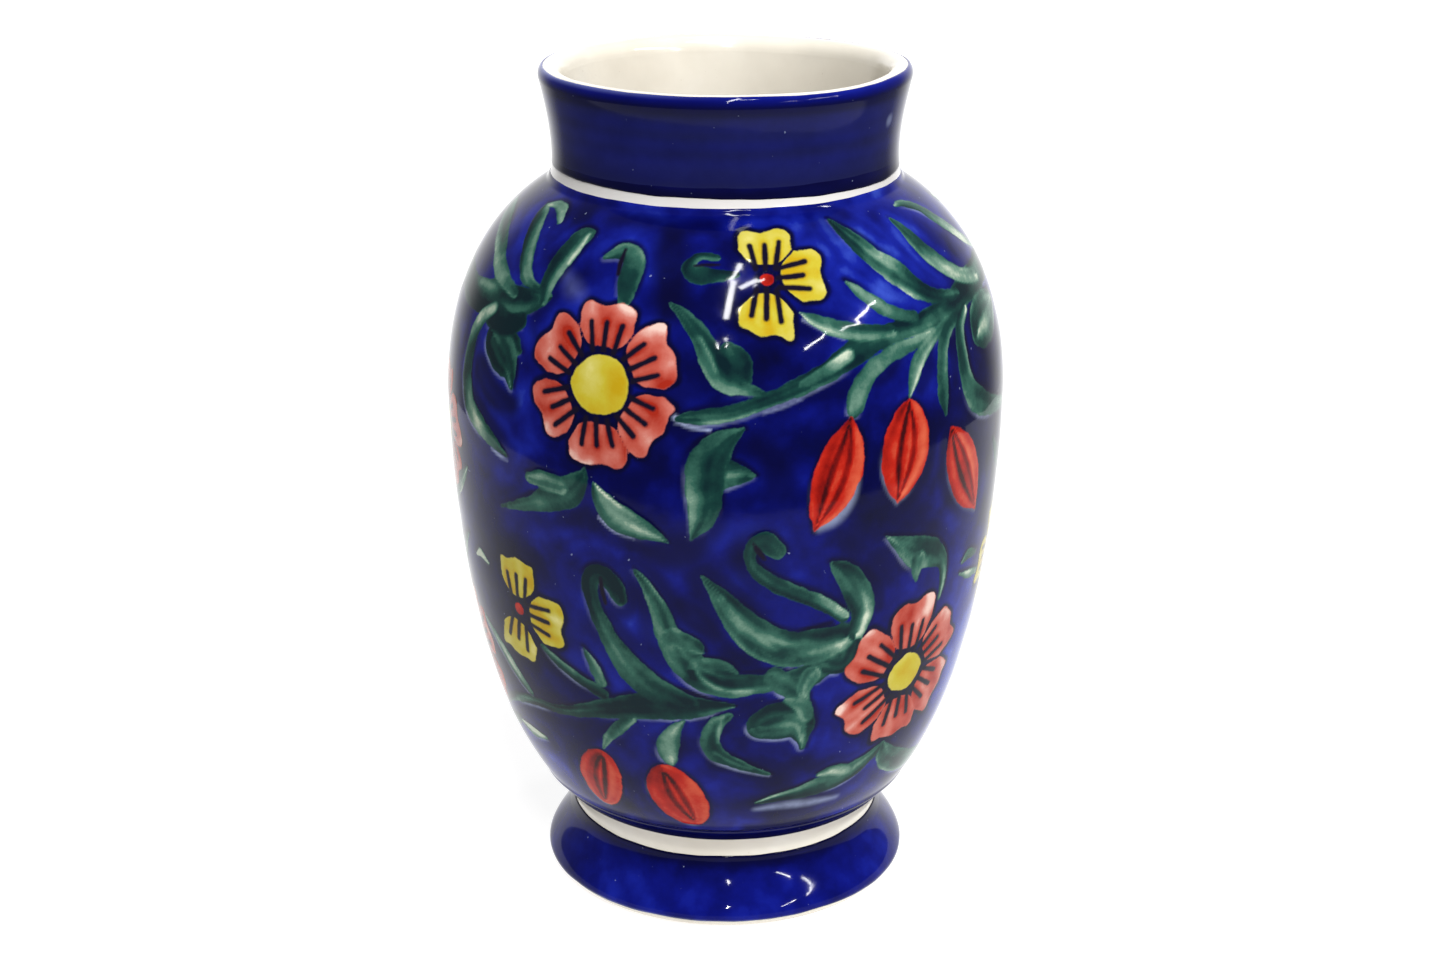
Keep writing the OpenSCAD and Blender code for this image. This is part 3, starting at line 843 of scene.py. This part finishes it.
def painted_glaze(name, patchy):
    """Blue ground with the painted motifs, each edge a little uneven, under clear gloss. patchy
    is how much the blue varies from place to place."""
    m = Shader(name)
    wobble = m.vary(m.noise(180, 5, 0.6), -0.42, 0.42)
    shake = m.vary(m.noise(300, 2), -0.12, 0.12)
    fine = m.noise(1500, 3)
    mottle = m.noise(160, 4)
    broad = m.noise(38, 3)

    def inside(motif, soft=0.22):
        edge = m.math("ADD", m.attribute(motif), shake if motif == "line" else wobble)
        return m.range(edge, -soft, soft)

    # how light the blue is, and its dark and milky paint, come from the points; on the neck they
    # also hold painted highlight, shade, sheen and haze
    wash = m.math("ADD", m.attribute("wash"), m.vary(mottle, -0.1 * patchy, 0.1 * patchy))
    wash = m.math("ADD", wash, m.vary(broad, -0.06, 0.06))
    colour = m.ramp(wash, (0.0, 2, 3, 36), (0.3, 2, 4, 60), (0.55, 5, 11, 92), (0.8, 14, 26, 124),
                    (1.0, 42, 62, 156))
    ink = m.math("MULTIPLY", m.attribute("ink"), m.range(mottle, 0.25, 0.6, 0.75, 1.0))
    colour = m.mix(ink, colour, srgb(3, 3, 33))
    milk = m.math("MULTIPLY", m.attribute("milk"), m.range(mottle, 0.3, 0.6, 1 - 0.5 * patchy, 1.0))
    bubble = m.range(m.noise(620, 1), 0.79, 0.82, 0.0, 0.3)
    milk = m.math("MAXIMUM", milk, bubble)
    colour = m.mix(milk, colour, srgb(160, 172, 204))
    tone = m.math("ADD", m.attribute("tone"), m.vary(mottle, -0.13, 0.13))
    tone = m.math("ADD", tone, m.vary(fine, -0.02, 0.02))
    paints = {
        "green": [(0.08, 6, 26, 32), (0.36, 16, 50, 46), (0.6, 44, 84, 72), (0.82, 96, 126, 110),
                  (1.0, 176, 186, 166)],
        "coral": [(0.08, 142, 34, 20), (0.4, 165, 74, 61), (0.65, 178, 103, 91),
                  (1.0, 206, 174, 162)],
        "yellow": [(0.1, 166, 136, 18), (0.36, 170, 156, 44), (0.62, 178, 168, 80),
                   (1.0, 206, 200, 140)],
        "red": [(0.02, 50, 8, 12), (0.28, 118, 14, 10), (0.55, 160, 30, 18), (1.0, 192, 92, 64)],
    }
    for motif, stops in paints.items():
        colour = m.mix(inside(motif), colour, m.ramp(tone, *stops))
    colour = m.mix(inside("line", 0.3), colour, srgb(14, 10, 28))
    relief = m.math("MULTIPLY", inside("line", 0.6), 0.4)
    for motif in paints:
        relief = m.math("ADD", relief, m.math("MULTIPLY", inside(motif, 0.8), 0.4))
    relief = m.math("ADD", relief, m.math("MULTIPLY", m.noise(90, 2), 0.9))
    roughness = m.vary(mottle, 0.04, 0.08)
    return m.finish(colour, roughness, m.bump(relief, 0.00003), 1.5, 0.085)


def white_glaze():
    """Warm tin white, greyed by painted shade on the line under the neck, with faint specks."""
    m = Shader("white_glaze")
    cloud = m.noise(30, 4)
    colour = m.ramp(cloud, (0.3, 203, 196, 182), (0.55, 213, 207, 194), (0.75, 220, 216, 206))
    height = m.node("ShaderNodeSeparateXYZ", {0: m.place()}).outputs["Z"]
    # painted shade: the white under the neck is mixed towards a cool grey
    neck_line_shade = m.math("MULTIPLY", m.range(height, 0.212, 0.217), m.range(height, 0.23, 0.224))
    colour = m.mix(m.math("MULTIPLY", neck_line_shade, 0.5), colour, srgb(190, 191, 198))
    speck = m.range(m.noise(900, 2), 0.72, 0.78)
    colour = m.mix(m.math("MULTIPLY", speck, 0.25), colour, srgb(150, 128, 98))
    roughness = m.vary(cloud, 0.1, 0.18)
    return m.finish(colour, roughness, m.bump(m.noise(120, 2), 0.00008))


def bare_clay():
    """Fired buff clay where no glaze reaches: matt, gritty, with turning lines."""
    m = Shader("bare_clay")
    grain = m.noise(1400, 4, 0.7)
    cloud = m.noise(45, 3)
    colour = m.ramp(cloud, (0.3, 196, 170, 134), (0.55, 212, 190, 156), (0.8, 222, 204, 174))
    pit = m.range(grain, 0.62, 0.72)
    colour = m.mix(m.math("MULTIPLY", pit, 0.5), colour, srgb(134, 100, 70))
    rings = m.noise(500, 2, stretch=(0.15, 0.15, 1))
    roughness = m.vary(grain, 0.7, 0.95)
    return m.finish(colour, roughness, m.bump(m.math("ADD", grain, rings), 0.00012), 1.45, 0.3)


def plain_floor():
    """A matt grey that glows, so that it looks white but hardly shows a shadow."""
    m = Shader("floor")
    colour = m.mix(m.vary(m.noise(3, 2)), (0.36, 0.36, 0.36, 1), (0.38, 0.38, 0.38, 1))
    m.bsdf.inputs["Emission Color"].default_value = (1, 1, 1, 1)
    m.bsdf.inputs["Emission Strength"].default_value = 0.78
    return m.finish(colour, m.vary(m.noise(40, 2), 0.55, 0.65), None, 1.4, 0.2)


# ---- the pieces

def at(value, amount, seed):
    """A station that wobbles with the angle like a line drawn on a slow wheel."""
    return lambda angle: value + amount * wander(angle, seed, (2, 3, 5, 8, 13, 21, 34), 0.55)


def shown(piece, node, material):
    """Gives a piece its material, and shows it in place of a CAD node."""
    piece.data.materials.clear()
    piece.data.materials.append(material)
    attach(piece, "root")
    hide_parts(node)


def make_clay(material):
    """The three thrown sections under the glaze."""
    t = -GROUND_T
    ring_out = FOOT_R - 1.4
    ring_in = ring_out - RING_W
    edge = [(ring_out + 0.35, 0.2)]
    foot = list(line(S["foot"], S["waist"], t, 1.0))
    recess = [(WAIST_R - 5.5, FOOT_H), (WAIST_R - 5.3, FOOT_H * 0.6), (ring_in - 1.2, 1.6),
              (ring_in, 0.25), (ring_in + 0.5, 0.0), (ring_out - 0.5, 0.0)]
    shown(lathe("clay_foot_ring", edge + foot + recess), "clay_foot", material)
    outer = list(line(S["waist"], S["neck"], t, 2.4))
    inner = list(line(S["inner_shoulder"], S["end"], t, 2.4))
    inner[-1] = (0.0, inner[-1][1])
    floor = [(0.0, FOOT_H)] + [(r, FOOT_H) for r in (15.0, 30.0, WAIST_R - 5.5)]
    shown(lathe("clay_pot", floor + outer + inner), "clay_belly", material)
    neck = line(S["neck"], S["inner_shoulder"], t, 1.2)
    shown(lathe("clay_collar", neck), "clay_neck", material)


def make_white(material):
    """Ground glaze over the outside and the lip, and the lining."""
    over = line(S["foot"], S["collar"], 0, 1.0)
    under = line(S["foot"], S["collar"], -GROUND_T, 2.0)
    ground = lathe("tin_glaze", list(over) + list(under[::-1]))
    shown(ground, "ground_glaze", material)
    over = line(S["collar"], S["end"], 0, 1.6)
    under = line(S["collar"], S["end"], -GROUND_T, 2.4)
    over[-1, 0] = under[-1, 0] = 0.0
    lining = lathe("lining", list(over) + list(under[::-1]))
    shown(lining, "lining_glaze", material)


def band(name, first, last, rows, thin, node, material, ink):
    """A plain banding stroke, its darkness given at its lower and upper edges."""
    piece, a, s = coat(name, first, last, rows, max(rows // 3, 4), thin)
    rise = (s - s[:, :1]) / (s[:, -1:] - s[:, :1])
    streaks = clouds(a, s, 71, 12, 2.0)
    paint_plain(piece, 0.35 + 0.12 * streaks, ink[0] + (ink[1] - ink[0]) * rise, 0 * s)
    shown(piece, node, material)


def make_blue(material, smooth):
    """The blue coats and the dark lines, from the foot up. The neck has the smooth glaze."""
    foot_low = at(station(FOOT_BLUE_Z), 0.35, 3)
    foot_top = at(station(FOOT_H - 1.6), 0.15, 11)
    piece, a, s = coat("blue_foot", foot_low, foot_top, 70, 24, (True, False), 2.0, 0.8)
    rise = (s - s.min()) / (s.max() - s.min())
    wash = 0.5 + 0.16 * clouds(a, s, 51, 8, 0.25) + 0.06 * clouds(a, s, 52, 28, 0.7)
    paint_plain(piece, wash - 0.2 * smoothstep(0.75, 1, rise), 0.5 * smoothstep(0.85, 1, rise),
                0.5 * smoothstep(0.08, 0.0, rise))
    shown(piece, "cobalt_foot", material)
    band("foot_edge_line", foot_top, at(S["waist"], 0.3, 12), 14, (False, True), "foot_line",
         material, (0.5, 1.0))

    band_top = at(station(BEAD_Z), 0.1, 14)
    band("waist_band_line", at(S["belly"], 0.3, 13), band_top, 26, (True, False), "waist_line",
         material, (1.0, 0.1))

    belly_top = at(station(BELLY_BLUE_Z), 0.22, 15)
    piece, a, s = coat("blue_belly", band_top, belly_top, 350, 64, (False, True))
    paint_belly(piece, a, s)
    shown(piece, "cobalt_belly", material)

    def white_top(angle):
        # the white line is broad on the left and narrows to the right
        return station(WHITE_LINE_Z) + 0.5 * np.sin(-angle - 0.3) + at(0, 0.3, 16)(angle)

    line_top = at(station(DARK_LINE_Z), 0.3, 17)
    band("neck_edge_line", white_top, line_top, 16, (True, False), "neck_line",
         material, (1.0, 0.6))
    piece, a, s = coat("blue_neck", line_top, at(S["mouth"] - 1.1, 0.2, 18), 96, 28, (False, True))
    rise = (s - s.min()) / (s.max() - s.min())
    wash = 0.42 + 0.06 * clouds(a, s, 61, 3, 0.14) + 0.07 * clouds(a, s, 62, 1, 1.5)
    # painted highlight: the blue is lighter along the top of the lip
    wash = wash + 0.26 * smoothstep(0.9, 0.98, rise)
    # painted shade: a dark band on the underside of the lip roll, below its lighter top
    ink = 0.75 * smoothstep(0.72, 0.8, rise) * smoothstep(0.92, 0.86, rise)
    ink = ink + 0.6 * smoothstep(0.2, 0.0, rise)
    # painted reflection: a faint milky haze streaked across the neck below the lip
    painted_haze = 0.018 * smoothstep(0.9, 0.7, rise) * (1 + 0.2 * clouds(a, s, 63, 2, 1.2))
    # painted sheen: a pale sheen along the top of the lip at the front left
    front_left = smoothstep(0.1, -0.9, np.sin(a)) * smoothstep(-0.4, 0.2, np.cos(a))
    lip_sheen = smoothstep(0.93, 0.99, rise) * front_left
    from_smudge = np.hypot((a - math.radians(62)) * LIP_R, s - station(238))
    milk = painted_haze + 0.2 * lip_sheen + 0.3 * smoothstep(2.6, 0.6, from_smudge)
    paint_plain(piece, wash, ink, milk)
    shown(piece, "cobalt_neck", smooth)


# ---- stage, light and camera

def add_bead():
    """A low bead that the turning tool left where the belly starts."""
    above = STATION - station(BEAD_Z)
    bump = 0.4 * np.exp(-(above / 0.9) ** 2) - 0.25 * np.exp(-((above + 2) / 0.9) ** 2)
    SKIN[:] += NORMAL * bump[:, None]


def make_stage():
    """A round white table. The front of its reflection shows as a soft step on the belly."""
    bpy.ops.mesh.primitive_circle_add(vertices=96, radius=0.5, fill_type="NGON",
                                      location=(0, 0.1, 0))
    floor = bpy.context.object
    floor.name = "floor"
    floor.data.materials.append(plain_floor())


SHOULDER = Vector((0, 0, 0.19))
LAMP_DISTANCE = 10


def toward(azimuth, elevation):
    """A far point in a direction from the shoulder, azimuth 0 being the camera's side."""
    az, el = math.radians(azimuth), math.radians(elevation)
    way = Vector((math.sin(az) * math.cos(el), -math.cos(az) * math.cos(el), math.sin(el)))
    return SHOULDER + way * LAMP_DISTANCE


def strip_light(name, start, end, width, glow):
    """A narrow lamp between two directions, each an azimuth and an elevation. Its width is in
    degrees and glow is its brightness next to white."""
    a, b = toward(*start), toward(*end)
    data = bpy.data.lights.new(name, "AREA")
    data.shape = "RECTANGLE"
    data.size, data.size_y = (b - a).length, LAMP_DISTANCE * math.radians(width)
    data.energy = glow * math.pi * data.size * data.size_y
    lamp = bpy.data.objects.new(name, data)
    lamp.location = (a + b) / 2
    x = (b - a).normalized()
    z = (lamp.location - SHOULDER).normalized()
    y = z.cross(x).normalized()
    z = x.cross(y)
    lamp.rotation_euler = Matrix((x, y, z)).transposed().to_euler()
    bpy.context.scene.collection.objects.link(lamp)


def make_lights():
    """Narrow lamps that show as small highlights, and a room that is bright behind the vase."""
    for name, start, end, width, glow in (("front", (1, 42), (16, 71), 2.0, 145),
                                          ("front_right", (10, 56), (27, 60), 2.0, 140),
                                          ("low", (0, 28.2), (1, 32), 1.2, 220),
                                          ("top", (150, 84), (165, 79), 0.8, 220),
                                          ("right", (35, 22), (46, 27), 0.7, 220),
                                          ("far_right", (54, 27), (78, 31.5), 0.7, 220)):
        strip_light("lamp_" + name, start, end, width, glow)
    world = bpy.data.worlds.new("studio")
    bpy.context.scene.world = world
    w = Nodes(world)
    way = w.node("ShaderNodeTexCoord").outputs["Generated"]
    back = w.node("ShaderNodeSeparateXYZ", {0: way}).outputs["Y"]
    strength = w.node("ShaderNodeLightPath").outputs["Is Camera Ray"]
    for lo, hi, to_lo, to_hi in ((-0.3, 0.2, 0.05, 0.34), (0.62, 0.92, 0.34, 1.45)):
        room = w.range(back, lo, hi, to_lo, to_hi, interpolation_type="SMOOTHSTEP")
        strength = w.math("MAXIMUM", strength, room)
    background = w.tree.nodes["Background"]
    w.tree.links.new(strength, background.inputs["Strength"])
    background.inputs["Color"].default_value = (1, 1, 1, 1)


def make_camera():
    """A hand-held view from a little above."""
    data = bpy.data.cameras.new("view")
    data.lens = 57.2
    data.sensor_width = 36
    camera = bpy.data.objects.new("view", data)
    camera.location = (-0.00085, -0.6569, 0.3601)
    camera.rotation_euler = (math.radians(90 - 19.87), 0, 0)
    bpy.context.scene.collection.objects.link(camera)
    bpy.context.scene.camera = camera


bpy.context.scene.view_settings.view_transform = "Standard"
make_camera()
make_lights()
make_stage()
add_bead()
make_clay(bare_clay())
make_white(white_glaze())
make_blue(painted_glaze("painted_glaze", 1), painted_glaze("smooth_glaze", 0.3))
